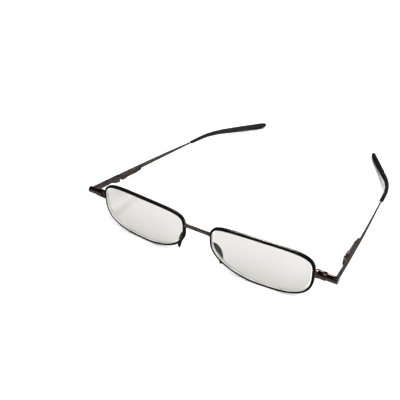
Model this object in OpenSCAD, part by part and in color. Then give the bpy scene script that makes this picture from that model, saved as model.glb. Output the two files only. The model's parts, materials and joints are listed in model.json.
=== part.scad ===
// Folding reading glasses: a thin metal full-rim front, end pieces that swivel,
// sprung temple hinges and flattened temple tips. Millimetres.
// +X is the wearer's left, +Y runs back along the temples and +Z is up.
// The glasses stand open on the lower edges of the rims and on the two tips.

/* [Front] */
// Distance from the middle of the bridge to the middle of each lens opening
lens_x = 32.6; // [32.5:0.1:33.5]
// Width of each lens opening
lens_w = 48.9; // [47:0.1:49.5]
// Height of the opening above its widest level
lens_up = 8.8; // [8.4:0.1:9.2]
// Depth of the opening below its widest level
lens_down = 14.6; // [14:0.1:15]
// Width of the rim wire across the front face
rim_w = 1.25; // [1.1:0.05:1.4]
// Thickness of the rim wire from front to back
rim_t = 1.8; // [1.6:0.1:2.1]
// Backward turn of each lens from the nose outward, in degrees
front_wrap = 3.9; // [3:0.1:5]
// Diameter of the bridge bar
bridge_d = 1.9; // [1.4:0.1:2.2]
// Height of the bridge bar above the ground
bridge_z = 19.7; // [19:0.1:21]
// Height of each nose pad
pad_h = 12.5; // [11:0.5:13.5]
// Width of each nose pad, out from the rim
pad_depth = 2.8; // [2.4:0.1:3.2]

/* [End pieces] */
// Height of the swivel axis above the ground
swivel_z = 17.1; // [16.5:0.1:17.5]
// Diameter of the fixed barrel
barrel_d = 4.1; // [3.8:0.1:4.4]
// Diameter of the turning barrel
turning_d = 3.4; // [3.3:0.05:3.6]
// Half of the width across both end pieces
end_x = 68.8; // [68.4:0.1:69.2]

/* [Temple hinges] */
// Distance from the swivel axis back to the hinge screw
hinge_y = 17.9; // [17:0.1:19]
// Distance from the swivel axis down to the hinge screw
hinge_drop = 2.4; // [2:0.1:2.7]
// Inward turn of the arm and of the whole hinge, in degrees
arm_toe = 4.4; // [3:0.1:5]
// Height of the spring box
box_h = 3; // [2.8:0.1:3.2]
// Length of the spring box, with its ramp
box_l = 16.8; // [16:0.2:18]
// Lean of the hinge screws that lets one folded temple pass the other, in degrees
crossing_lean = 1.5; // [1.5:0.1:1.8]

/* [Temples] */
// Length of a temple along its curve, from the hinge screw to the end of its tip
temple_l = 124.2; // [121:0.1:126]
// Thickness of the metal strip
strip_t = 0.9; // [0.8:0.05:1]
// Length of each tip sleeve
sleeve_l = 59.6; // [56:0.2:62]
// Largest height of the tip sleeve
sleeve_h = 3.8; // [3.5:0.1:4.2]
// Inward turn of the temple along its metal part, in degrees
bow_turn = 1.9; // [1.5:0.1:4]
// Further inward turn behind the ear, in degrees
ear_turn = 25.6; // [20:0.1:27]

/* [Hidden] */
$fn = 48;

// Sides, as signs along X: the wearer's left is +1
left = 1;
right = -1;

// Gaps between separate solids
seat_gap = 0.02; // pieces that are fixed to each other
run_gap = 0.05; // pieces that turn or slide on each other

// Colours
gunmetal = [0.33, 0.31, 0.29];
dark_metal = [0.24, 0.22, 0.21];
bright_metal = [0.62, 0.60, 0.58];
satin_black = [0.05, 0.05, 0.055];
clear_lens = [0.86, 0.88, 0.87, 0.35];
smoke_pad = [0.16, 0.15, 0.14];

// Lens outline: a superellipse whose four corners have their own squareness
outline_n = 120;
top_nasal = 6.1;
top_temporal = 4.4;
low_temporal = 2.95;
low_nasal = 1.95;
nasal_x = lens_x - lens_w / 2;
lens_z = lens_down + rim_w;

function squareness(c, s) = s >= 0 ? (c < 0 ? top_nasal : top_temporal) : (c < 0 ? low_nasal : low_temporal);
function outline_scale(c, s) = pow(pow(abs(c), squareness(c, s)) + pow(abs(s), squareness(c, s)),
                                   -1 / squareness(c, s));
function opening_point(a) = let (c = cos(a), s = sin(a), r = outline_scale(c, s))
    [lens_x + lens_w / 2 * r * c, lens_z + (s >= 0 ? lens_up : lens_down) * r * s];
function outward(a) = let (d = opening_point(a + 0.05) - opening_point(a - 0.05)) [d.y, -d.x] / norm(d);
function rim_outline(grow) = [for (i = [0:outline_n - 1])
    let (a = 360 * i / outline_n) opening_point(a) + grow * outward(a)];
lens_middle = [lens_x, lens_z];

// Rim wire: its section as [distance outward from the opening, front-to-back place]
groove_w = 0.4;
groove_d = 0.5;
rim_round = 0.35;
rim_half = rim_t / 2;
rim_section = [
    [0.2, -rim_half], [rim_w - rim_round, -rim_half], [rim_w, -rim_half + rim_round],
    [rim_w, rim_half - rim_round], [rim_w - rim_round, rim_half], [0.2, rim_half],
    [0, rim_half - 0.2], [0, groove_w], [groove_d, 0], [0, -groove_w], [0, -rim_half + 0.2],
];
lock_split = 0.12;

// Lens: [share of the outline, front-to-back place] on the faces, with the bevel at the edge
lens_gap = 0.05;
front_bulge = 1.3;
back_hollow = 0.5;
edge_half = 0.33;
face_shares = [0.25, 0.5, 0.75, 0.9];

// End piece, from the rim outward along X
lock_x = 59.7;
lock_h = 3.6;
lock_depth = 2.5;
lock_screw_x = 59.03;
lock_screw_r = 0.4;
seam_x = 63.4;
barrel_y = 3.6;
swivel_pin_r = 0.75;
swivel_head_r = 1.15;
head_seat_x = 66.2;
cap_x = 67.5;
cap_bore_r = 1.25;

// Hinge, in the hinge screw's own frame: y runs back along the temple
strip_inner = 0.8; // inner face of the strips, outward from the screw axis
strip_mid = strip_inner + strip_t / 2;
strip_inset = 0.7; // from the outer end of the barrel in to the arm's root
hinge_x = end_x - strip_inset - hinge_y * tan(arm_toe) - (strip_inner + strip_t) / cos(arm_toe);
lug_r = 1.1;
knuckle_deep = strip_inner + lug_r - 0.1; // from the strip's inner face to the knuckle's inner face
knuckle_h = 1.4;
lug_h = 3.3;
strip_end = 1.6;
flex_gap = 0.3;
screw_r = 0.42;
screw_head_r = 0.72;
screw_head_h = 0.4;
box_y = 2.6;
box_deep = 1.25;
rod_x = 0.15;
rod_r = 0.2;
box_bore_r = 0.44;
bush_l = 0.8;
nut_y = 11.4;
nut_l = 0.8;
box_bore_end = 12.6;
coil_r = 0.31;
coil_wire_r = 0.07;
coil_turns = 8;

// Temple curve
bow_l = 48;
bend_at = 73.9;
bend_l = 20;
step = 1;
strip_front = strip_end + flex_gap;
root_h = 2.9;
mid_h = 1.8;
mid_at = 43;
core_h = 1;
core_t = 0.65;
core_end = 114;
sleeve_at = temple_l - sleeve_l;
sleeve_start_h = 1.8;
sleeve_start_w = 2;
sleeve_w = 2.1;
tip_round = 3.6;
tip_slant = 0.5;

function heading(s) = s < bow_l ? bow_turn * s / bow_l
    : s < bend_at ? bow_turn
    : s < bend_at + bend_l ? bow_turn + ear_turn * (s - bend_at) / bend_l
    : bow_turn + ear_turn;
function along(s) = [-sin(heading(s)), cos(heading(s))];
function across(s) = [cos(heading(s)), sin(heading(s))];
// Stations of the temple curve: each is [x, y, distance along]
curve = [for (s = 0, p = [strip_mid, 0]; s < temple_l + 3 * step;
              p = p + step * along(s + step / 2), s = s + step)
    [p.x, p.y, s]];
function curve_point(s) = let (i = floor(s / step), f = s / step - i)
    [curve[i].x, curve[i].y] * (1 - f) + [curve[i + 1].x, curve[i + 1].y] * f;
function smooth(u) = let (v = min(max(u, 0), 1)) v * v * (3 - 2 * v);
function strip_thickness(s) = strip_t + (core_t - strip_t) * smooth((s - 20) / (sleeve_at - 20));
function strip_face(s) = curve_point(s) - (strip_thickness(s) / 2 + seat_gap) * across(s);

// Slope of each temple, so that its tip touches the ground
function toed(p) = [p.x * cos(arm_toe) - p.y * sin(arm_toe), p.x * sin(arm_toe) + p.y * cos(arm_toe)];
low_point = curve_point(temple_l - tip_round - tip_slant * sleeve_h / 2);
mean_slope = 6.3;
hinge_z = swivel_z - hinge_drop;
tip_depth = sleeve_h / 2 + 0.03;
function lean_of(side) = side * crossing_lean;
function slope_of(side) = asin((hinge_z - tip_depth - low_point.x * sin(lean_of(side))) / toed(low_point).y);

// The origin is under the middle of the whole box
back_y = barrel_y + hinge_y + toed(curve_point(temple_l)).y * cos(mean_slope);
collar_d = bridge_d + 0.3;
front_y = -collar_d / 2;
shift_y = -(front_y + back_y) / 2;

module on_side(side) {
    translate([0, shift_y, 0])
        if (side > 0) children();
        else mirror([1, 0, 0]) children();
}

// Turns a rim and what is fixed on it back about the nasal edge of the lens opening
module wrapped() {
    translate([nasal_x, 0, 0]) rotate([0, 0, front_wrap]) translate([-nasal_x, 0, 0]) children();
}

module on_swivel(side) {
    on_side(side) translate([0, barrel_y, swivel_z]) rotate([0, 90, 0]) children();
}

module on_hinge(side) {
    on_side(side)
        translate([hinge_x, barrel_y + hinge_y, hinge_z])
            rotate([-slope_of(side), 0, 0])
                rotate([0, lean_of(side), arm_toe])
                    children();
}

// A ring of points joined to the next ring, closed at both ends or round on itself
module skin(rings, closed = false) {
    n = len(rings[0]);
    m = len(rings);
    points = [for (ring = rings) for (p = ring) p];
    sides = [for (i = [0:(closed ? m - 1 : m - 2)]) for (j = [0:n - 1])
        let (a = i * n, b = ((i + 1) % m) * n, k = (j + 1) % n)
        each [[a + j, a + k, b + k], [a + j, b + k, b + j]]];
    ends = closed ? [] : [[for (j = [n - 1:-1:0]) j], [for (j = [0:n - 1]) (m - 1) * n + j]];
    polyhedron(points, concat(sides, ends), convexity = 6);
}

// Everything inside the outer edge of a rim, used to seat pieces against it
module rim_envelope() {
    wrapped() rotate([90, 0, 0])
        linear_extrude(height = 12, center = true)
            polygon(rim_outline(rim_w + seat_gap));
}

module rim(side) {
    color(gunmetal) on_side(side) wrapped() difference() {
        skin([for (i = [0:outline_n - 1]) let (a = 360 * i / outline_n, p = opening_point(a), n = outward(a))
            [for (q = rim_section) [p.x + q.x * n.x, q.y, p.y + q.x * n.y]]], closed = true);
        translate([lens_x + lens_w / 2 - 2, -rim_t, swivel_z - lock_split / 2])
            cube([4, 2 * rim_t, lock_split]);
    }
}

function face_ring(share, y) = [for (p = rim_outline(-lens_gap))
    let (q = lens_middle + share * (p - lens_middle)) [q.x, y, q.y]];
function edge_ring(grow, y) = [for (p = rim_outline(grow)) [p.x, y, p.y]];

module lens(side) {
    last = len(face_shares) - 1;
    color(clear_lens) on_side(side) wrapped() skin(concat(
        [for (f = face_shares) face_ring(f, -edge_half - front_bulge * (1 - f * f))],
        [edge_ring(-lens_gap, -edge_half), edge_ring(groove_d - 0.08, 0), edge_ring(-lens_gap, edge_half)],
        [for (k = [last:-1:0]) let (f = face_shares[k])
            face_ring(f, edge_half - back_hollow * (1 - f * f))]));
}

module bridge() {
    collar_l = 1.1;
    half = nasal_x;
    color(gunmetal) translate([0, shift_y, bridge_z]) difference() {
        rotate([0, 90, 0]) union() {
            cylinder(d = bridge_d, h = 2 * half, center = true);
            for (z = [-1, 1])
                translate([0, 0, z * (half - rim_w - collar_l / 2)])
                    cylinder(d = collar_d, h = collar_l + 1, center = true);
        }
        for (flip = [0, 1])
            mirror([flip, 0, 0]) translate([0, 0, -bridge_z]) rim_envelope();
    }
}

// Half-moon pad on the back of the rim, splayed to lie against the nose
module nose_pad(side) {
    pad_t = 1.2;
    pad_z = 8.9;
    pad_x = 10.6;
    splay = 50;
    tilt = 19;
    color(smoke_pad) on_side(side) wrapped() difference() {
        translate([pad_x, rim_half - 0.6, pad_z])
            rotate([0, -tilt, 0])
                rotate([0, 0, -splay])
                    rotate([90, 0, 90])
                        linear_extrude(height = pad_t, center = true)
                            intersection() {
                                scale([pad_depth + 0.6, pad_h / 2]) circle(r = 1, $fn = 64);
                                translate([0, -pad_h]) square([2 * pad_depth, 2 * pad_h]);
                            }
        translate([0, seat_gap + rim_half - 10, 0]) cube([40, 20, 60], center = true);
    }
}

module lock_block(side, up) {
    low = up ? swivel_z + lock_split / 2 : swivel_z - lock_h / 2;
    tall = (lock_h - lock_split) / 2;
    reach = up ? lock_x - seat_gap : lock_x - 3 * seat_gap;
    color(dark_metal) on_side(side) difference() {
        translate([lock_x - 3.8, barrel_y - lock_depth / 2, low])
            cube([reach - lock_x + 3.8, lock_depth, tall]);
        rim_envelope();
        translate([lock_screw_x, barrel_y, 0]) cylinder(r = lock_screw_r + seat_gap, h = 40);
        if (!up)
            translate([lock_screw_x, barrel_y, low - 1]) cylinder(r = lock_screw_r * 1.7, h = 1.4);
    }
}

module lock_screw(side) {
    head_z = swivel_z - lock_h / 2 + 0.4 - seat_gap;
    color(bright_metal) on_side(side) translate([lock_screw_x, barrel_y, head_z]) difference() {
        union() {
            cylinder(r = lock_screw_r, h = lock_h - 0.6);
            translate([0, 0, -0.5]) cylinder(r = lock_screw_r * 1.6, h = 0.5);
        }
        translate([0, 0, -0.5]) cube([0.2, 3, 0.4], center = true);
    }
}

// Turned barrel along the swivel axis, with small bevels at both ends
module barrel(from_x, to_x, r) {
    bevel = 0.15;
    rotate_extrude($fn = 96)
        polygon([[0, from_x], [r - bevel, from_x], [r, from_x + bevel],
                 [r, to_x - bevel], [r - bevel, to_x], [0, to_x]]);
}

module end_barrel(side) {
    bore_x = lock_x + 0.7;
    color(dark_metal) on_swivel(side) difference() {
        barrel(lock_x, seam_x, barrel_d / 2);
        translate([0, 0, bore_x]) cylinder(r = swivel_pin_r + seat_gap, h = 10);
    }
}

module swivel_pin(side) {
    foot_x = lock_x + 0.75;
    color(bright_metal) on_swivel(side) union() {
        translate([0, 0, foot_x]) cylinder(r = swivel_pin_r, h = head_seat_x + 0.4 - foot_x);
        translate([0, 0, head_seat_x + 0.3]) cylinder(r = swivel_head_r, h = 0.8);
    }
}

module swivel_washer(side) {
    color(bright_metal) on_swivel(side)
        translate([0, 0, head_seat_x + run_gap]) difference() {
            cylinder(r = swivel_head_r, h = 0.2);
            translate([0, 0, -1]) cylinder(r = swivel_pin_r + run_gap, h = 3);
        }
}

// Turning barrel, flat arm and the two outer lugs of the hinge
module swivel_arm(side) {
    color(gunmetal) difference() {
        union() {
            on_swivel(side) barrel(seam_x + run_gap, end_x, turning_d / 2);
            on_hinge(side) arm_strip();
        }
        on_swivel(side) translate([0, 0, seam_x - 1]) cylinder(r = swivel_pin_r + run_gap, h = 10);
        on_swivel(side) translate([0, 0, head_seat_x]) cylinder(r = cap_bore_r, h = 10);
        on_hinge(side) {
            cylinder(r = lug_r + 0.1, h = knuckle_h + 2 * run_gap, center = true);
            translate([-lug_r - 1, -lug_r, -knuckle_h / 2 - run_gap])
                cube([lug_r + 1, 4 * lug_r, knuckle_h + 2 * run_gap]);
            cylinder(r = screw_r + seat_gap, h = 10, center = true);
            translate([0, 0, lug_h / 2 - screw_head_h]) cylinder(r = screw_head_r + seat_gap, h = 3);
        }
    }
}

module arm_strip() {
    root_y = -hinge_y - 0.4;
    foot_y = -3.6;
    linear_extrude(height = lug_h, center = true) {
        difference() {
            union() {
                circle(r = lug_r);
                polygon([[strip_inner, foot_y], [strip_inner + 0.1, lug_r * 0.6], [0, lug_r * 0.8],
                         [-lug_r, 0], [-lug_r * 0.86, -lug_r * 0.8], [-0.6, -2.2]]);
            }
            translate([strip_inner + strip_t, -5]) square([5, 10]);
        }
    }
    intersection() {
        translate([strip_inner, root_y, -lug_h]) cube([strip_t, strip_end - root_y, 2 * lug_h]);
        rotate([90, 0, 90])
            linear_extrude(height = 10)
                polygon([[root_y, -turning_d / 2], [strip_end, -root_h / 2],
                         [strip_end, root_h / 2], [root_y, turning_d / 2]]);
    }
}

module end_cap(side) {
    color(dark_metal) on_swivel(side) barrel(cap_x, end_x, cap_bore_r - seat_gap);
}

module hinge_screw(side) {
    shank = lug_h - screw_head_h;
    color(bright_metal) on_hinge(side) difference() {
        union() {
            translate([0, 0, -lug_h / 2]) cylinder(r = screw_r, h = shank + 0.1);
            translate([0, 0, lug_h / 2 - screw_head_h + seat_gap])
                cylinder(r = screw_head_r, h = screw_head_h - seat_gap);
        }
        translate([0, 0, lug_h / 2]) cube([0.25, 4, 0.4], center = true);
    }
}

// Middle knuckle with the rod that the spring pulls on
module hinge_slider(side) {
    color(dark_metal) on_hinge(side) difference() {
        union() {
            cylinder(r = lug_r, h = knuckle_h, center = true);
            translate([-lug_r * 0.5, 0, -knuckle_h / 2])
                cube([lug_r * 1.05, box_y - run_gap, knuckle_h]);
            translate([rod_x, box_y - 0.5, 0]) rotate([-90, 0, 0])
                cylinder(r = rod_r, h = nut_y + nut_l - box_y + 0.5);
        }
        cylinder(r = screw_r + run_gap, h = 10, center = true);
    }
}

module slider_nut(side) {
    color(bright_metal) on_hinge(side) translate([rod_x, nut_y, 0]) rotate([-90, 0, 0]) difference() {
        cylinder(r = box_bore_r - run_gap, h = nut_l);
        translate([0, 0, -1]) cylinder(r = rod_r + seat_gap, h = 3);
    }
}

module hinge_spring(side) {
    per_turn = 10;
    sides = 6;
    first_y = box_y + bush_l + coil_wire_r + seat_gap;
    pitch = (nut_y - seat_gap - coil_wire_r - first_y) / coil_turns;
    color(bright_metal) on_hinge(side) skin([for (i = [0:per_turn * coil_turns])
        let (a = 360 * i / per_turn, y = first_y + pitch * i / per_turn)
        [for (j = [0:sides - 1]) let (b = -360 * j / sides, r = coil_r + coil_wire_r * cos(b))
            [rod_x + r * cos(a), y + coil_wire_r * sin(b), r * sin(a)]]]);
}

// Box that hides the spring, with a ramp down to the strip at its back end
module spring_box(side) {
    ramp_l = 4.5;
    back = box_y + box_l;
    neck_y = box_y + 2.8;
    profile = [[back, 0.3], [back - 0.2 * ramp_l, 0.7], [back - 0.7 * ramp_l, box_deep - 0.35],
               [back - ramp_l, box_deep], [neck_y + 1.6, box_deep], [neck_y + 0.9, box_deep + 0.1],
               [neck_y, knuckle_deep - 0.1], [neck_y - 0.5, knuckle_deep], [box_y, knuckle_deep]];
    outer = [for (k = [0:8]) strip_face(box_y + box_l * k / 8)];
    color(gunmetal) on_hinge(side) difference() {
        linear_extrude(height = box_h, center = true)
            polygon(concat(outer, [for (q = profile) strip_face(q[0]) - q[1] * across(q[0])]));
        translate([rod_x, box_y - 1, 0]) rotate([-90, 0, 0])
            cylinder(r = box_bore_r, h = box_bore_end - box_y + 1);
    }
}

module box_bush(side) {
    color(dark_metal) on_hinge(side) translate([rod_x, box_y, 0]) rotate([-90, 0, 0]) difference() {
        cylinder(r = box_bore_r - seat_gap, h = bush_l);
        translate([0, 0, -1]) cylinder(r = rod_r + run_gap, h = 3);
    }
}

// Metal strip, tapering to the core wire that runs on inside the sleeve
module temple(side) {
    stations = [strip_front, for (s = [4:4:core_end]) s];
    outer = [for (s = stations) curve_point(s) + strip_thickness(s) / 2 * across(s)];
    inner = [for (s = stations) curve_point(s) - strip_thickness(s) / 2 * across(s)];
    core_at = curve_point(sleeve_at).y;
    last_y = curve_point(core_end).y;
    side_view = [[0, root_h], [mid_at, mid_h], [core_at, core_h], [last_y + 1, core_h]] / 2;
    upper = [for (p = side_view) [2 * p.x, p.y]];
    lower = [for (k = [len(upper) - 1:-1:0]) [upper[k].x, -upper[k].y]];
    color(gunmetal) on_hinge(side) intersection() {
        linear_extrude(height = 6, center = true)
            polygon(concat(outer, [for (k = [len(inner) - 1:-1:0]) inner[k]]));
        rotate([90, 0, 90])
            translate([0, 0, -40]) linear_extrude(height = 50) polygon(concat(upper, lower));
    }
}

// Sleeve sections: half width, half height and forward slant of the section at distance s
function sleeve_end(s) = let (u = (s - temple_l + tip_round) / tip_round)
    u <= 0 ? 1 : sqrt(max(1 - u * u, 0.01));
function sleeve_start(s) = let (u = 1 - (s - sleeve_at) / 0.5) u <= 0 ? 1 : 0.86 + 0.14 * sqrt(1 - u * u);
function half_wide(s) = sleeve_start(s) * (0.4 + 0.6 * sleeve_end(s))
    * (sleeve_start_w + (sleeve_w - sleeve_start_w) * smooth((s - sleeve_at) / 30)) / 2;
function half_high(s) = sleeve_start(s) * sleeve_end(s)
    * (sleeve_start_h + (sleeve_h - sleeve_start_h) * smooth((s - sleeve_at) / (0.8 * sleeve_l))) / 2;
function slant(s) = tip_slant * smooth((s - temple_l + 12) / 12);
function sleeve_ring(s, sides = 20) = [for (j = [0:sides - 1])
    let (b = 360 * j / sides, c = cos(b), e = sin(b),
        q = half_wide(s) * sign(c) * pow(abs(c), 0.8),
        z = half_high(s) * sign(e) * pow(abs(e), 0.8),
        t = s + slant(s) * z, p = curve_point(t), n = across(t))
        [p.x + q * n.x, p.y + q * n.y, z]];

module temple_tip(side) {
    stations = concat([0, 0.2, 0.5, 2], [for (s = [5:3:sleeve_l - tip_round]) s],
                      [for (a = [10:16:90]) sleeve_l - tip_round + tip_round * sin(a)]);
    core_stations = concat([sleeve_at - 1], [for (t = [ceil(sleeve_at / 4) * 4:4:core_end]) t],
                           [core_end + 0.2]);
    fit = seat_gap + 0.03;
    core_corners = [[1, -1], [1, 1], [-1, 1], [-1, -1]];
    color(satin_black) on_hinge(side) difference() {
        skin([for (s = stations) sleeve_ring(sleeve_at + s)]);
        skin([for (s = core_stations)
            let (p = curve_point(s), n = across(s), w = strip_thickness(s) / 2 + fit)
            [for (c = core_corners)
                [p.x + c.x * w * n.x, p.y + c.x * w * n.y, c.y * (core_h / 2 + fit + 0.03)]]]);
    }
}

bridge();
rim(left);  // left_rim
rim(right);  // right_rim
lens(left);  // left_lens
lens(right);  // right_lens
nose_pad(left);  // left_nose_pad
nose_pad(right);  // right_nose_pad
lock_block(left, true);  // left_upper_lock_block
lock_block(right, true);  // right_upper_lock_block
lock_block(left, false);  // left_lower_lock_block
lock_block(right, false);  // right_lower_lock_block
lock_screw(left);  // left_lock_screw
lock_screw(right);  // right_lock_screw
end_barrel(left);  // left_end_barrel
end_barrel(right);  // right_end_barrel
swivel_pin(left);  // left_swivel_pin
swivel_pin(right);  // right_swivel_pin
swivel_washer(left);  // left_swivel_washer
swivel_washer(right);  // right_swivel_washer
swivel_arm(left);  // left_swivel_arm
swivel_arm(right);  // right_swivel_arm
end_cap(left);  // left_end_cap
end_cap(right);  // right_end_cap
hinge_screw(left);  // left_hinge_screw
hinge_screw(right);  // right_hinge_screw
hinge_slider(left);  // left_hinge_slider
hinge_slider(right);  // right_hinge_slider
slider_nut(left);  // left_slider_nut
slider_nut(right);  // right_slider_nut
hinge_spring(left);  // left_hinge_spring
hinge_spring(right);  // right_hinge_spring
spring_box(left);  // left_spring_box
spring_box(right);  // right_spring_box
box_bush(left);  // left_box_bush
box_bush(right);  // right_box_bush
temple(left);  // left_temple
temple(right);  // right_temple
temple_tip(left);  // left_temple_tip
temple_tip(right);  // right_temple_tip
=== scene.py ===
import json
import math

import bmesh
import bpy
from mathutils import Matrix, Vector


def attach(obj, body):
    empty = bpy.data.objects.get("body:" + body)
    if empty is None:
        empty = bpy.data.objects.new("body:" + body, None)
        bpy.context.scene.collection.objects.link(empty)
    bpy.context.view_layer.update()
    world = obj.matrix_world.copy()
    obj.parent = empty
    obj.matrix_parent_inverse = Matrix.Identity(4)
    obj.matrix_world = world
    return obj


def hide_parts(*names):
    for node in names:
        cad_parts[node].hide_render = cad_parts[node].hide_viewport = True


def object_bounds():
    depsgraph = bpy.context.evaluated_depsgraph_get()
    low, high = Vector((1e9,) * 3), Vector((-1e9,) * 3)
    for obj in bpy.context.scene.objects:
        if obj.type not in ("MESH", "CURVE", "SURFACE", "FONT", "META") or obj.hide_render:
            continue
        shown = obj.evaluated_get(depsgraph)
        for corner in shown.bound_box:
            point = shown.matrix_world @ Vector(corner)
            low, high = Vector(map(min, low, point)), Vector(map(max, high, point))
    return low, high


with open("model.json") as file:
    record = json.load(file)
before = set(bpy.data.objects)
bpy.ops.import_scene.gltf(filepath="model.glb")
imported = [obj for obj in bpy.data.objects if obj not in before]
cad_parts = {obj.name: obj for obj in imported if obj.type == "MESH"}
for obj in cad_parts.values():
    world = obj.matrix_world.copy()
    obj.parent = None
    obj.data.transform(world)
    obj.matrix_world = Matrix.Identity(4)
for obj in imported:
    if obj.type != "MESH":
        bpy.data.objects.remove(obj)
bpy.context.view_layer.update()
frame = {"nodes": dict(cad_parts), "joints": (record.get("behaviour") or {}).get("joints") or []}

# Every size below is in millimetres, and goes into the row frame, in metres, through to_row()
MM = 0.001
SIDES = {"left": 1, "right": -1}
JOINTS = {joint["name"]: joint for joint in frame["joints"]}

# Front
LENS_X = 32.6
LENS_W = 48.9
LENS_UP = 8.8
LENS_DOWN = 14.6
RIM_W = 1.25
RIM_T = 1.8
FRONT_WRAP = 3.9
SQUARENESS = {"top_nasal": 6.1, "top_temporal": 4.4, "low_temporal": 2.95, "low_nasal": 1.95}
NASAL_X = LENS_X - LENS_W / 2
LENS_Z = LENS_DOWN + RIM_W
OUTLINE_POINTS = 240
LOCK_SPLIT = 0.12
CHAMFER_AT = 0.982  # share of the outline at which the ground edge of a lens starts; that edge is tinted lighter as a painted highlight
BARE_BAND = (-0.2, 0.5)  # front-to-back reach of the bare metal on a rim's outer edge; the black on either side of it is painted shade
BRIDGE_D = 1.9
BRIDGE_Z = 19.7

# Nose pads: they stand a little nearer the nose than those of the CAD model
PAD_H = 12.5
PAD_DEPTH = 3.1
PAD_T = 1.2
PAD_PLACE = (9.8, 0.3, 9.1)
PAD_SPLAY = 50
PAD_TILT = 19

# End pieces
BARREL_Y = 3.6
SWIVEL_Z = 17.1
LOCK_X = 59.7
SEAM_X = 63.4
BARREL_R = 2.05
TURNING_R = 1.7

# Temples, in the hinge screw's own frame, where y runs back along the temple
STRIP_T = 0.9
STRIP_MID = 0.8 + STRIP_T / 2
STRIP_FRONT = 1.9
CORE_T = 0.65
CORE_END = 114
TEMPLE_L = 124.2
SLEEVE_L = 59.6
SLEEVE_AT = TEMPLE_L - SLEEVE_L
SLEEVE_H = 3.8
SLEEVE_W = 2.1
SLEEVE_START_H = 1.8
SLEEVE_START_W = 2
TIP_ROUND = 3.6
TIP_SLANT = 0.5
BOW_TURN = 1.9
BOW_L = 48
EAR_TURN = 25.6
BEND_AT = 73.9
BEND_L = 20

# The row frame's y of the rims' middle plane
SHIFT_Y = JOINTS["left_swivel"]["pos_m"][1] / MM - BARREL_Y


# ---- placing -------------------------------------------------------------------------------

def front_map(side, wrapped=False):
    """Millimetres in the front's own frame, drawn for the wearer's left, to metres in the row frame."""
    nasal = Matrix.Translation((NASAL_X, 0, 0))
    wrap = nasal @ Matrix.Rotation(math.radians(FRONT_WRAP), 4, "Z") @ nasal.inverted()
    place = Matrix.Diagonal((side * MM, MM, MM, 1)) @ Matrix.Translation((0, SHIFT_Y, 0))
    return place @ wrap if wrapped else place


def hinge_map(name):
    """Millimetres in the hinge screw's own frame to metres in the row frame."""
    side = SIDES[name]
    fold = JOINTS[name + "_fold"]
    up = side * Vector(fold["axis"])
    back = Vector(JOINTS[name + "_spring_slide"]["axis"])
    out = side * back.cross(up)
    turn = Matrix((out, back, up)).transposed().to_4x4()
    return Matrix.Translation(fold["pos_m"]) @ turn @ Matrix.Diagonal((MM, MM, MM, 1))


def finish_piece(mesh, name, body, nodes, sharp=35):
    """Makes an object of the mesh, shades it smooth but for its edges, and hands it to the frame."""
    mesh.shade_smooth()
    mesh.set_sharp_from_angle(angle=math.radians(sharp))
    piece = bpy.data.objects.new(name, mesh)
    bpy.context.scene.collection.objects.link(piece)
    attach(piece, body)
    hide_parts(*nodes)
    return piece


# ---- mesh code -----------------------------------------------------------------------------

def skin(rings, to_row, materials, closed=False, material_of=None):
    """A mesh through rings of points, closed at both ends by a face or round on itself."""
    made = bmesh.new()
    loops = [[made.verts.new(to_row @ Vector(point)) for point in ring] for ring in rings]
    count = len(loops[0])
    spans = list(zip(loops, loops[1:]))
    if closed:
        spans.append((loops[-1], loops[0]))
    for along, (near, far) in enumerate(spans):
        for i in range(count):
            k = (i + 1) % count
            face = made.faces.new((near[i], near[k], far[k], far[i]))
            if material_of:
                face.material_index = material_of(i, along)
    if not closed:
        made.faces.new(reversed(loops[0]))
        made.faces.new(loops[-1])
    bmesh.ops.recalc_face_normals(made, faces=made.faces)
    mesh = bpy.data.meshes.new("skin")
    made.to_mesh(mesh)
    made.free()
    for coat in materials:
        mesh.materials.append(coat)
    return mesh


def turned(profile, to_row, materials, centre, sides=96):
    """A mesh turned round a line along x, from [place along x, radius] points; centre is its (y, z)."""
    angles = [2 * math.pi * i / sides for i in range(sides)]
    rings = []
    for x, radius in profile:
        rings.append([(x, centre[0] + radius * math.cos(a), centre[1] + radius * math.sin(a))
                      for a in angles])
    return skin(rings, to_row, materials)


def rounded_box(half_x, half_z, radius, steps=4):
    """Points round a rectangle with rounded corners."""
    points = []
    for cx, cz, start in ((1, -1, -90), (1, 1, 0), (-1, 1, 90), (-1, -1, 180)):
        for i in range(steps + 1):
            a = math.radians(start + 90 * i / steps)
            points.append((cx * (half_x - radius) + radius * math.cos(a),
                           cz * (half_z - radius) + radius * math.sin(a)))
    return points


def softened(node, name, body, coat, width, steps=3):
    """The CAD node's own shape with its flat faces made whole and its edges rounded."""
    weld, flat, edge_angle = 1e-6, math.radians(0.4), math.radians(32)
    made = bmesh.new()
    made.from_mesh(frame["nodes"][node].data)
    bmesh.ops.remove_doubles(made, verts=made.verts, dist=weld)
    bmesh.ops.dissolve_limit(made, angle_limit=flat, verts=made.verts, edges=made.edges)
    edges = [e for e in made.edges if e.is_manifold and e.calc_face_angle(0) > edge_angle]
    bmesh.ops.bevel(made, geom=edges, offset=width * MM, segments=steps, profile=0.5,
                    affect="EDGES", clamp_overlap=True)
    bmesh.ops.recalc_face_normals(made, faces=made.faces)
    mesh = bpy.data.meshes.new(name)
    made.to_mesh(mesh)
    made.free()
    mesh.materials.append(coat)
    return finish_piece(mesh, name, body, [node])


def paint_barrel(piece, coat):
    """Gives the turning barrel of an arm its own material, like the fixed barrel beside it."""
    piece.data.materials.append(coat)
    axis_y, axis_z = (BARREL_Y + SHIFT_Y) * MM, SWIVEL_Z * MM
    reach = (TURNING_R + 0.05) * MM
    for face in piece.data.polygons:
        if abs(face.center.y - axis_y) < reach and abs(face.center.z - axis_z) < reach:
            face.material_index = 1


# ---- materials -----------------------------------------------------------------------------

# Scales of the noise in the materials, in features a metre
METAL_PATCHES = 260
LACQUER_PATCHES = 180
LENS_FILM = 60
PAD_STREAKS = 900


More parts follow.
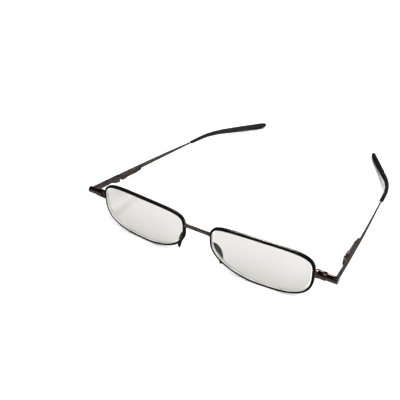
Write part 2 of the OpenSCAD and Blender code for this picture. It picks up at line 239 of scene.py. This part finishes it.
def material(name):
    """A new node material, its tree and its Principled shader."""
    made = bpy.data.materials.new(name)
    made.use_nodes = True
    tree = made.node_tree
    tree.nodes.clear()
    shader = tree.nodes.new("ShaderNodeBsdfPrincipled")
    output = tree.nodes.new("ShaderNodeOutputMaterial")
    tree.links.new(shader.outputs["BSDF"], output.inputs["Surface"])
    return made, tree, shader


def noise(tree, scale, stretch=(1, 1, 1), detail=4):
    """Noise in the object's own frame, scale in features a metre, stretched along its axes."""
    where = tree.nodes.new("ShaderNodeTexCoord")
    mapping = tree.nodes.new("ShaderNodeMapping")
    mapping.inputs["Scale"].default_value = [scale / s for s in stretch]
    made = tree.nodes.new("ShaderNodeTexNoise")
    made.inputs["Scale"].default_value = 1
    made.inputs["Detail"].default_value = detail
    tree.links.new(where.outputs["Object"], mapping.inputs["Vector"])
    tree.links.new(mapping.outputs["Vector"], made.inputs["Vector"])
    return made.outputs["Fac"]


def ramp(tree, value, low, high, start=0.35, end=0.65):
    """Two colours mixed by a value."""
    made = tree.nodes.new("ShaderNodeValToRGB")
    made.color_ramp.elements[0].position = start
    made.color_ramp.elements[0].color = (*low, 1)
    made.color_ramp.elements[1].position = end
    made.color_ramp.elements[1].color = (*high, 1)
    tree.links.new(value, made.inputs["Fac"])
    return made.outputs["Color"]


def spread(tree, value, low, high):
    """The value's range, 0.3 to 0.7, spread from low to high."""
    made = tree.nodes.new("ShaderNodeMapRange")
    made.inputs["From Min"].default_value = 0.3
    made.inputs["From Max"].default_value = 0.7
    made.inputs["To Min"].default_value = low
    made.inputs["To Max"].default_value = high
    tree.links.new(value, made.inputs["Value"])
    return made.outputs["Result"]


def bump(tree, shader, value, height_mm):
    """Relief of that height on the shader, from the value."""
    made = tree.nodes.new("ShaderNodeBump")
    made.inputs["Strength"].default_value = 1
    made.inputs["Distance"].default_value = height_mm * MM
    tree.links.new(value, made.inputs["Height"])
    tree.links.new(made.outputs["Normal"], shader.inputs["Normal"])


def metal(name, low, high, roughness, bare=1.0, edge=0.0, stretch=(1, 1, 1), grain=2600, height=0.004):
    """Plated metal: two close shades in soft patches, a fine grain and small scuffs in the gloss.
    bare is the share that shines as metal under the dark lacquer, and edge how much of a glancing
    reflection is kept."""
    made, tree, shader = material(name)
    patches = noise(tree, METAL_PATCHES, stretch)
    fine = noise(tree, grain, stretch, detail=6)
    tree.links.new(ramp(tree, patches, low, high), shader.inputs["Base Color"])
    tree.links.new(spread(tree, fine, roughness[0], roughness[1]), shader.inputs["Roughness"])
    shader.inputs["Metallic"].default_value = bare
    shader.inputs["Specular IOR Level"].default_value = 0
    shader.inputs["Specular Tint"].default_value = (edge, edge, edge, 1)
    bump(tree, shader, fine, height)
    return made


def lacquer(name, low, high, roughness, gloss, grain=1800, height=0.003):
    """Dark lacquer or moulded plastic with a soft gloss. The rims use it for painted shade on their black
    face and a painted highlight in their pale groove.
    """
    made, tree, shader = material(name)
    patches = noise(tree, LACQUER_PATCHES)
    fine = noise(tree, grain, detail=5)
    tree.links.new(ramp(tree, patches, low, high), shader.inputs["Base Color"])
    tree.links.new(spread(tree, fine, roughness[0], roughness[1]), shader.inputs["Roughness"])
    shader.inputs["Specular IOR Level"].default_value = gloss
    bump(tree, shader, fine, height)
    return made


def maths(tree, operation, *values):
    """A Math node whose inputs are numbers or other nodes' outputs."""
    made = tree.nodes.new("ShaderNodeMath")
    made.operation = operation
    for socket, value in zip(made.inputs, values):
        if isinstance(value, (int, float)):
            socket.default_value = value
        else:
            tree.links.new(value, socket)
    return made.outputs["Value"]


def clear_lens(name, tint):
    """Thin clear lens: light goes straight through with a light tint, and its outer skin reflects,
    a little when seen square on and strongly when seen at a glance."""
    square_on, at_a_glance, falloff = 0.035, 0.9, 5
    mirror = (0.9, 0.9, 0.9)
    made, tree, shader = material(name)
    film = noise(tree, LENS_FILM, detail=2)
    tree.links.new(spread(tree, film, 0.02, 0.05), shader.inputs["Roughness"])
    shader.inputs["Base Color"].default_value = (*mirror, 1)
    shader.inputs["Metallic"].default_value = 1
    through = tree.nodes.new("ShaderNodeBsdfTransparent")
    tree.links.new(ramp(tree, film, tint, [min(1, c * 1.015) for c in tint]), through.inputs["Color"])
    facing = tree.nodes.new("ShaderNodeLayerWeight")
    surface = tree.nodes.new("ShaderNodeNewGeometry")
    glancing = maths(tree, "POWER", facing.outputs["Facing"], falloff)
    share = maths(tree, "MULTIPLY_ADD", glancing, at_a_glance, square_on)
    outside = maths(tree, "SUBTRACT", 1, surface.outputs["Backfacing"])
    mix = tree.nodes.new("ShaderNodeMixShader")
    output = next(n for n in tree.nodes if n.type == "OUTPUT_MATERIAL")
    tree.links.new(maths(tree, "MULTIPLY", share, outside), mix.inputs["Fac"])
    tree.links.new(through.outputs["BSDF"], mix.inputs[1])
    tree.links.new(shader.outputs["BSDF"], mix.inputs[2])
    tree.links.new(mix.outputs["Shader"], output.inputs["Surface"])
    return made


def smoked_pad(name):
    """Smoke-tinted soft plastic of the nose pads."""
    made, tree, shader = material(name)
    low, high = (0.0025, 0.0022, 0.002), (0.008, 0.007, 0.006)
    streaks = noise(tree, PAD_STREAKS, stretch=(1, 1, 6))
    tree.links.new(ramp(tree, streaks, low, high), shader.inputs["Base Color"])
    tree.links.new(spread(tree, streaks, 0.22, 0.34), shader.inputs["Roughness"])
    shader.inputs["Specular IOR Level"].default_value = 0
    bump(tree, shader, streaks, 0.006)
    return made


RIM_EDGE = metal("rim_gunmetal", (0.045, 0.042, 0.039), (0.070, 0.066, 0.062), (0.16, 0.26), edge=0.5)
# The rims' black face and back corner: painted shade standing in for the dark reflections of the gunmetal
# there
RIM_FACE_PAINTED_SHADE = lacquer("rim_face_painted_shade", (0.0018, 0.0018, 0.0017), (0.004, 0.004, 0.0038), (0.30, 0.40), 0.02)
# The rims' pale lens groove: a painted highlight for the bright line just inside the rim, not a polish of its
# own
RIM_GROOVE_PAINTED_GLOW = lacquer("rim_groove_painted_highlight", (0.55, 0.54, 0.51), (0.70, 0.69, 0.66), (0.20, 0.32), 0.3)
BRIDGE_METAL = metal("bridge_gunmetal", (0.050, 0.043, 0.038), (0.100, 0.088, 0.078), (0.24, 0.36),
                     bare=0.6, edge=0.2, grain=1500, height=0.012)
BARREL_METAL = metal("barrel_dark_metal", (0.030, 0.021, 0.017), (0.052, 0.039, 0.032), (0.08, 0.13),
                     edge=0.8)
STRIP_METAL = metal("temple_gunmetal", (0.034, 0.031, 0.028), (0.060, 0.055, 0.049), (0.26, 0.36), bare=0.15,
                    stretch=(1, 14, 1), height=0.005)
BOX_METAL = metal("hinge_gunmetal", (0.036, 0.029, 0.026), (0.062, 0.051, 0.045), (0.24, 0.34), bare=0.3)
BRIGHT_STEEL = metal("bright_steel", (0.22, 0.21, 0.20), (0.34, 0.33, 0.31), (0.20, 0.32), edge=0.5)
SLEEVE = metal("sleeve_black", (0.014, 0.014, 0.0143), (0.026, 0.026, 0.0265), (0.38, 0.48), bare=0.5,
               grain=2400, height=0.005)
LENS = clear_lens("clear_lens", (0.73, 0.726, 0.71))
# The lenses' ground edge, almost untinted: a painted highlight for the bright line at the lens's edge
LENS_EDGE_PAINTED_GLOW = clear_lens("lens_edge_painted_highlight", (0.98, 0.98, 0.97))
PAD = smoked_pad("smoke_pad")


# ---- front ---------------------------------------------------------------------------------

def outline(angle, grow=0.0):
    """A point on the lens outline at that angle, moved outward by grow, and the outward direction."""
    def point(a):
        c, s = math.cos(a), math.sin(a)
        level = "top" if s >= 0 else "low"
        power = SQUARENESS[level + ("_nasal" if c < 0 else "_temporal")]
        r = (abs(c) ** power + abs(s) ** power) ** (-1 / power)
        return Vector((LENS_X + LENS_W / 2 * r * c, LENS_Z + (LENS_UP if s >= 0 else LENS_DOWN) * r * s))
    chord = point(angle + 0.001) - point(angle - 0.001)
    outward = Vector((chord.y, -chord.x)).normalized()
    return point(angle) + grow * outward, outward


def angle_at(height):
    """The outline's angle on its temporal side at that height, by halving."""
    low, high = -0.5, 0.5
    for _ in range(40):
        middle = (low + high) / 2
        if outline(middle)[0].y < height:
            low = middle
        else:
            high = middle
    return low


def rim_section():
    """Section of the rim wire as [outward, front to back, material]: a crowned black face that runs over
    the front corner, a bare metal band on the outer edge, a black back corner and the pale lens groove.
    The black of the face and back corner is painted shade for the gunmetal's dark reflections there,
    and the pale groove is a painted highlight for the bright line just inside the rim."""
    half, corner, crown, lip = RIM_T / 2, 0.34, 0.05, 0.2
    groove_half, groove_deep = 0.4, 0.5
    face_steps, corner_steps = 6, 5
    # Slots: bare metal, black painted shade, and the pale groove as a painted highlight
    bare, black, groove = 0, 1, 2
    points = [(0.0, -groove_half, groove), (0.0, -half + 0.26, groove), (0.08, -half + 0.1, black),
              (lip, -half + crown, black)]
    for i in range(1, face_steps):
        x = lip + (RIM_W - corner - lip) * i / face_steps
        points.append((x, -half + crown * (2 * i / face_steps - 1) ** 2, black))
    for start, sign in ((-90, -1), (0, 1)):
        for i in range(corner_steps + 1):
            a = math.radians(start + 90 * i / corner_steps)
            x = RIM_W - corner + corner * math.cos(a)
            y = sign * (half - corner) + corner * math.sin(a)
            points.append((x, y, black))
        if sign < 0:
            points += [(RIM_W, BARE_BAND[0], bare), (RIM_W, BARE_BAND[1], black)]
    points += [(lip, half, black), (0.08, half - 0.08, groove), (0.0, half - 0.2, groove),
               (0.0, groove_half, groove), (groove_deep, 0.0, groove)]
    return points


def build_rim(name, side):
    """Rim wire round the lens, with a small gap at the end piece where it closes."""
    section = rim_section()
    start = angle_at(SWIVEL_Z + LOCK_SPLIT / 2)
    end = 2 * math.pi + angle_at(SWIVEL_Z - LOCK_SPLIT / 2)
    rings = []
    for i in range(OUTLINE_POINTS + 1):
        point, outward = outline(start + (end - start) * i / OUTLINE_POINTS)
        rings.append([(point.x + x * outward.x, y, point.y + x * outward.y) for x, y, _ in section])
    # The black slot is painted shade and the pale groove slot a painted highlight
    mesh = skin(rings, front_map(side, True), [RIM_EDGE, RIM_FACE_PAINTED_SHADE, RIM_GROOVE_PAINTED_GLOW],
                material_of=lambda around, along: section[around][2])
    finish_piece(mesh, name + "_rim_wire", "front", [name + "_rim"])


def build_lens(name, side):
    """Lens with a bulged front, a hollow back, a ground edge and a bevel that stands in the groove.
    The ground edge is tinted almost clear, lighter than the rest, as a painted highlight.
    """
    edge_half, front_bulge, back_hollow, gap, bevel = 0.33, 1.3, 0.5, 0.05, 0.42
    angles = [2 * math.pi * i / OUTLINE_POINTS for i in range(OUTLINE_POINTS)]
    middle = Vector((LENS_X, LENS_Z))

    def ring(share, y, grow=-gap):
        points = [middle + share * (outline(a, grow)[0] - middle) for a in angles]
        return [(p.x, y, p.y) for p in points]
    shares = [k / 14 for k in range(1, 14)] + [0.975, CHAMFER_AT]
    front_face = [ring(f, -edge_half - front_bulge * (1 - f * f)) for f in shares]
    edge = [ring(1, -edge_half), ring(1, 0, bevel), ring(1, edge_half)]
    back_face = [ring(f, edge_half - back_hollow * (1 - f * f)) for f in reversed(shares)]
    ground = range(len(shares) - 1, len(shares) + 3)
    # The ground edge gets the lighter tint, a painted highlight
    mesh = skin(front_face + edge + back_face, front_map(side, True), [LENS, LENS_EDGE_PAINTED_GLOW],
                material_of=lambda around, along: 1 if along in ground else 0)
    finish_piece(mesh, name + "_lens_glass", "front", [name + "_lens"])


def build_pad(name, side):
    """Half-moon pad: its rounded edge runs round an oval, and its straight side is cut flush with the
    back of the rim."""
    steps, layers, root = 56, 10, 0.9
    rings = []
    for k in range(layers + 1):
        a = math.pi * (k / layers - 0.5)
        inset = PAD_T / 2 * (1 - math.cos(a))
        width, height = PAD_DEPTH - inset, PAD_H / 2 - inset
        ring = []
        for i in range(steps):
            b = 2 * math.pi * i / steps
            out = width * math.cos(b) if math.cos(b) > 0 else root * math.cos(b)
            ring.append((PAD_T / 2 * math.sin(a), out, height * math.sin(b)))
        rings.append(ring)
    front = front_map(side, True)
    turn = (Matrix.Rotation(math.radians(-PAD_TILT), 4, "Y")
            @ Matrix.Rotation(math.radians(-PAD_SPLAY), 4, "Z"))
    mesh = skin(rings, front @ Matrix.Translation(PAD_PLACE) @ turn, [PAD])
    cut = bmesh.new()
    cut.from_mesh(mesh)
    where = front @ Vector((PAD_PLACE[0], RIM_T / 2 + 0.02, PAD_PLACE[2]))
    facing = (front.to_3x3() @ Vector((0, 1, 0))).normalized()
    everything = cut.verts[:] + cut.edges[:] + cut.faces[:]
    result = bmesh.ops.bisect_plane(cut, geom=everything, plane_co=where, plane_no=facing,
                                    clear_inner=True)
    rim_side = [e for e in result["geom_cut"] if isinstance(e, bmesh.types.BMEdge)]
    bmesh.ops.contextual_create(cut, geom=rim_side)
    bmesh.ops.recalc_face_normals(cut, faces=cut.faces)
    cut.to_mesh(mesh)
    cut.free()
    finish_piece(mesh, name + "_pad_soft", "front", [name + "_nose_pad"])


def build_bridge():
    """Bar with a soldered collar at each end that swells a little towards the rim."""
    half = NASAL_X - RIM_W + 0.35
    collar, bar = BRIDGE_D / 2 + 0.15, BRIDGE_D / 2
    places = [(-half, collar), (-half + 0.9, collar), (-half + 1.15, collar - 0.03), (-half + 1.3, bar + 0.1),
              (-half + 1.45, bar + 0.02), (-half + 1.8, bar)]
    middle = [(x, bar) for x in (-4, -2, 0, 2, 4)]
    profile = places + middle + [(-x, r) for x, r in reversed(places)]
    mesh = turned(profile, front_map(1), [BRIDGE_METAL], (0, BRIDGE_Z), sides=48)
    finish_piece(mesh, "bridge_bar", "front", ["bridge"], sharp=50)


def build_end_barrel(name, side):
    """Fixed barrel of an end piece, rounded more at the rim than at the seam."""
    bevel, seam_bevel = 0.2, 0.12
    profile = [(LOCK_X, 1.2), (LOCK_X, BARREL_R - bevel), (LOCK_X + 0.06, BARREL_R - 0.06),
               (LOCK_X + bevel, BARREL_R), (SEAM_X - seam_bevel, BARREL_R),
               (SEAM_X - 0.03, BARREL_R - 0.04), (SEAM_X, BARREL_R - seam_bevel), (SEAM_X, 0.8)]
    mesh = turned(profile, front_map(side), [BARREL_METAL], (BARREL_Y, SWIVEL_Z))
    finish_piece(mesh, name + "_barrel_body", "front", [name + "_end_barrel"])


# ---- hinges and temples --------------------------------------------------------------------

def smooth(u):
    """Eases from 0 to 1."""
    v = min(max(u, 0), 1)
    return v * v * (3 - 2 * v)


def heading(s):
    """Inward turn of the temple's curve at that distance along it, in radians."""
    bow = BOW_TURN * min(s / BOW_L, 1)
    ear = EAR_TURN * min(max((s - BEND_AT) / BEND_L, 0), 1)
    return math.radians(bow + ear)


def temple_curve():
    """Points on the temple's middle line, one for each millimetre along it."""
    points = [Vector((STRIP_MID, 0))]
    for s in range(int(TEMPLE_L) + 4):
        middle = heading(s + 0.5)
        points.append(points[-1] + Vector((-math.sin(middle), math.cos(middle))))
    return points


CURVE = temple_curve()


def curve_point(s):
    """The middle line's point at distance s along it."""
    i = int(s)
    return CURVE[i].lerp(CURVE[i + 1], s - i)


def across(s):
    """The outward direction at distance s along the temple."""
    return Vector((math.cos(heading(s)), math.sin(heading(s))))


def strip_thickness(s):
    """Thickness of the strip: it thins smoothly from 20 mm behind the hinge to the start of the sleeve."""
    return STRIP_T + (CORE_T - STRIP_T) * smooth((s - 20) / (SLEEVE_AT - 20))


def strip_height(y):
    """Height of the strip: it narrows from the hinge to the sleeve in two straight tapers."""
    levels = [(0, 2.9), (43, 1.8), (curve_point(SLEEVE_AT).y, 1.0), (500, 1.0)]
    for (y0, h0), (y1, h1) in zip(levels, levels[1:]):
        if y <= y1:
            return h0 + (h1 - h0) * (y - y0) / (y1 - y0)


def build_strip(name):
    """Metal strip of a temple with rounded edges, running on as a core wire inside the sleeve."""
    first, step, edge_round = 2, 1.5, 0.2
    stations = [STRIP_FRONT] + [first + step * k for k in range(1, int((CORE_END - first) / step) + 1)]
    rings = []
    for s in stations:
        middle, out = curve_point(s), across(s)
        thick, tall = strip_thickness(s), strip_height(middle.y)
        rings.append([(middle.x + x * out.x, middle.y + x * out.y, z)
                      for x, z in rounded_box(thick / 2, tall / 2, edge_round)])
    mesh = skin(rings, hinge_map(name), [STRIP_METAL])
    finish_piece(mesh, name + "_temple_strip", name + "_temple", [name + "_temple"],
                 sharp=50)


def sleeve_end(s):
    """Share of the sleeve's full section left at distance s, as it rounds off at the tip."""
    u = (s - TEMPLE_L + TIP_ROUND) / TIP_ROUND
    return 1 if u <= 0 else math.sqrt(max(1 - u * u, 0.01))


def sleeve_start(s):
    """Share of the sleeve's full section at distance s, as it rounds up from the strip."""
    u = 1 - (s - SLEEVE_AT) / 0.5
    return 1 if u <= 0 else 0.86 + 0.14 * math.sqrt(max(1 - u * u, 0))


def build_sleeve(name):
    """Moulded sleeve: a soft oval section that widens, bends behind the ear and ends on a slant."""
    sides, squareness = 40, 0.8
    stations = [0, 0.05, 0.12, 0.25, 0.5, 1]
    stations += [2 + 1.2 * k for k in range(int((SLEEVE_L - TIP_ROUND - 2) / 1.2) + 1)]
    stations += [SLEEVE_L - TIP_ROUND + TIP_ROUND * math.sin(math.radians(a)) for a in range(6, 91, 7)]
    rings = []
    for s in [SLEEVE_AT + part for part in stations]:
        start, end = sleeve_start(s), sleeve_end(s)
        wide = SLEEVE_START_W + (SLEEVE_W - SLEEVE_START_W) * smooth((s - SLEEVE_AT) / 30)
        high = SLEEVE_START_H + (SLEEVE_H - SLEEVE_START_H) * smooth((s - SLEEVE_AT) / (0.8 * SLEEVE_L))
        slant = TIP_SLANT * smooth((s - TEMPLE_L + 12) / 12)
        ring = []
        for j in range(sides):
            b = 2 * math.pi * j / sides
            c, e = math.cos(b), math.sin(b)
            x = start * wide / 2 * (0.4 + 0.6 * end) * math.copysign(abs(c) ** squareness, c)
            z = start * end * high / 2 * math.copysign(abs(e) ** squareness, e)
            middle, out = curve_point(s + slant * z), across(s + slant * z)
            ring.append((middle.x + x * out.x, middle.y + x * out.y, z))
        rings.append(ring)
    mesh = skin(rings, hinge_map(name), [SLEEVE])
    finish_piece(mesh, name + "_sleeve_moulding", name + "_temple", [name + "_temple_tip"],
                 sharp=50)


# CAD nodes that stay visible as they are, by their material
CARRIED_OVER = [
    (BRIGHT_STEEL, ("lock_screw", "swivel_pin", "swivel_washer", "slider_nut", "hinge_spring")),
    (BARREL_METAL, ("hinge_screw", "box_bush")),
]


def softened_pieces(name):
    """Pieces that keep the CAD shape with rounded edges: CAD node, new piece, body, slot, material and
    edge rounding."""
    return [
        ("upper_lock_block", "upper_block", "front", "dark_metal", BARREL_METAL, 0.18),
        ("lower_lock_block", "lower_block", "front", "dark_metal", BARREL_METAL, 0.18),
        ("swivel_arm", "arm_body", name + "_arm", "gunmetal", BOX_METAL, 0.14),
        ("end_cap", "cap_disc", name + "_arm", "dark_metal", BARREL_METAL, 0.05),
        ("hinge_slider", "slider_knuckle", name + "_slider", "dark_metal", BOX_METAL, 0.06),
        ("spring_box", "spring_case", name + "_temple", "gunmetal", BOX_METAL, 0.16),
    ]


build_bridge()
for side_name, side_sign in SIDES.items():
    build_rim(side_name, side_sign)
    build_lens(side_name, side_sign)
    build_pad(side_name, side_sign)
    build_end_barrel(side_name, side_sign)
    build_strip(side_name)
    build_sleeve(side_name)
    for node_end, piece_end, body, slot, finish, width in softened_pieces(side_name):
        softened(f"{side_name}_{node_end}", f"{side_name}_{piece_end}", body, finish, width)
    paint_barrel(bpy.data.objects[side_name + "_arm_body"], BARREL_METAL)
    for carried_coat, node_ends in CARRIED_OVER:
        for node_end in node_ends:
            slots = frame["nodes"][f"{side_name}_{node_end}"].data.materials
            slots.clear()
            slots.append(carried_coat)


# ---- floor, light and camera ---------------------------------------------------------------

# Metres, unless it says otherwise
FLOOR_REACH = 0.55
FLOOR_DROP = 0.00002
CAMERA_PLACE = (0.13333, -0.27064, 0.20275)
CAMERA_ANGLES = (33.148, 34.495, -1.064)  # azimuth, elevation and roll, in degrees
CAMERA_LENS = 58.364  # millimetres, on a sensor 36 mm wide


def towards(azimuth, elevation):
    """Direction from angles in radians; azimuth 0 is in front of the glasses, and a positive one is
    to the wearer's left."""
    return Vector((math.sin(azimuth) * math.cos(elevation), -math.cos(azimuth) * math.cos(elevation),
                   math.sin(elevation)))


def build_floor():
    """Plain white floor just under the lowest point; it ends where the studio is white as well."""
    made = bmesh.new()
    bmesh.ops.create_grid(made, x_segments=2, y_segments=2, size=FLOOR_REACH)
    mesh = bpy.data.meshes.new("floor")
    made.to_mesh(mesh)
    made.free()
    floor = bpy.data.objects.new("floor", mesh)
    floor.location = (0, 0, min(0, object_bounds()[0].z) - FLOOR_DROP)
    bpy.context.scene.collection.objects.link(floor)
    paper, _, shader = material("pale_floor")
    shader.inputs["Base Color"].default_value = (0.93, 0.93, 0.93, 1)
    shader.inputs["Roughness"].default_value = 0.9
    shader.inputs["Specular IOR Level"].default_value = 0.1
    floor.data.materials.append(paper)


def add_light(name, azimuth, elevation, distance, size, power):
    """A soft rectangular light that looks at the glasses from an azimuth and elevation in degrees."""
    way = towards(math.radians(azimuth), math.radians(elevation))
    data = bpy.data.lights.new(name, "AREA")
    data.shape = "RECTANGLE"
    data.size, data.size_y = size
    data.energy = power
    lamp = bpy.data.objects.new(name, data)
    lamp.location = way * distance
    lamp.rotation_euler = way.to_track_quat("Z", "Y").to_euler()
    bpy.context.scene.collection.objects.link(lamp)


def build_world():
    """A studio that is white near and below the horizon and dim above, so that metal keeps its depth."""
    world = bpy.data.worlds.new("studio")
    world.use_nodes = True
    tree = world.node_tree
    way = tree.nodes.new("ShaderNodeTexCoord").outputs["Generated"]
    split = tree.nodes.new("ShaderNodeSeparateXYZ")
    tree.links.new(way, split.inputs["Vector"])
    white, dim = 1.0, 0.12
    fade_from, fade_to = 0.15, 0.42
    fade = tree.nodes.new("ShaderNodeMapRange")
    fade.interpolation_type = "SMOOTHSTEP"
    for socket, value in (("From Min", fade_from), ("From Max", fade_to), ("To Min", white), ("To Max", dim)):
        fade.inputs[socket].default_value = value
    tree.links.new(split.outputs["Z"], fade.inputs["Value"])
    background = tree.nodes["Background"]
    background.inputs["Color"].default_value = (1, 1, 1, 1)
    tree.links.new(fade.outputs["Result"], background.inputs["Strength"])
    bpy.context.scene.world = world


def build_camera():
    azimuth, elevation, roll = (math.radians(a) for a in CAMERA_ANGLES)
    back = towards(azimuth, elevation)
    right = (-back).cross(Vector((0, 0, 1))).normalized()
    up = right.cross(-back)
    turned_right = math.cos(roll) * right + math.sin(roll) * up
    turned_up = math.cos(roll) * up - math.sin(roll) * right
    data = bpy.data.cameras.new("camera")
    data.sensor_width = 36
    data.lens = CAMERA_LENS
    data.clip_start = 0.01
    camera = bpy.data.objects.new("camera", data)
    camera.matrix_world = (Matrix.Translation(CAMERA_PLACE)
                           @ Matrix((turned_right, turned_up, back)).transposed().to_4x4())
    bpy.context.scene.collection.objects.link(camera)
    bpy.context.scene.camera = camera


build_floor()
add_light("overhead", 62, 62, 1.2, (1.1, 1.1), 22)
add_light("back_strip", -160, 36, 0.9, (0.22, 0.16), 6)
build_world()
# A plain display transform, so that the white floor doesn't wash out the edges of thin dark wires
bpy.context.scene.view_settings.view_transform = "Standard"
build_camera()
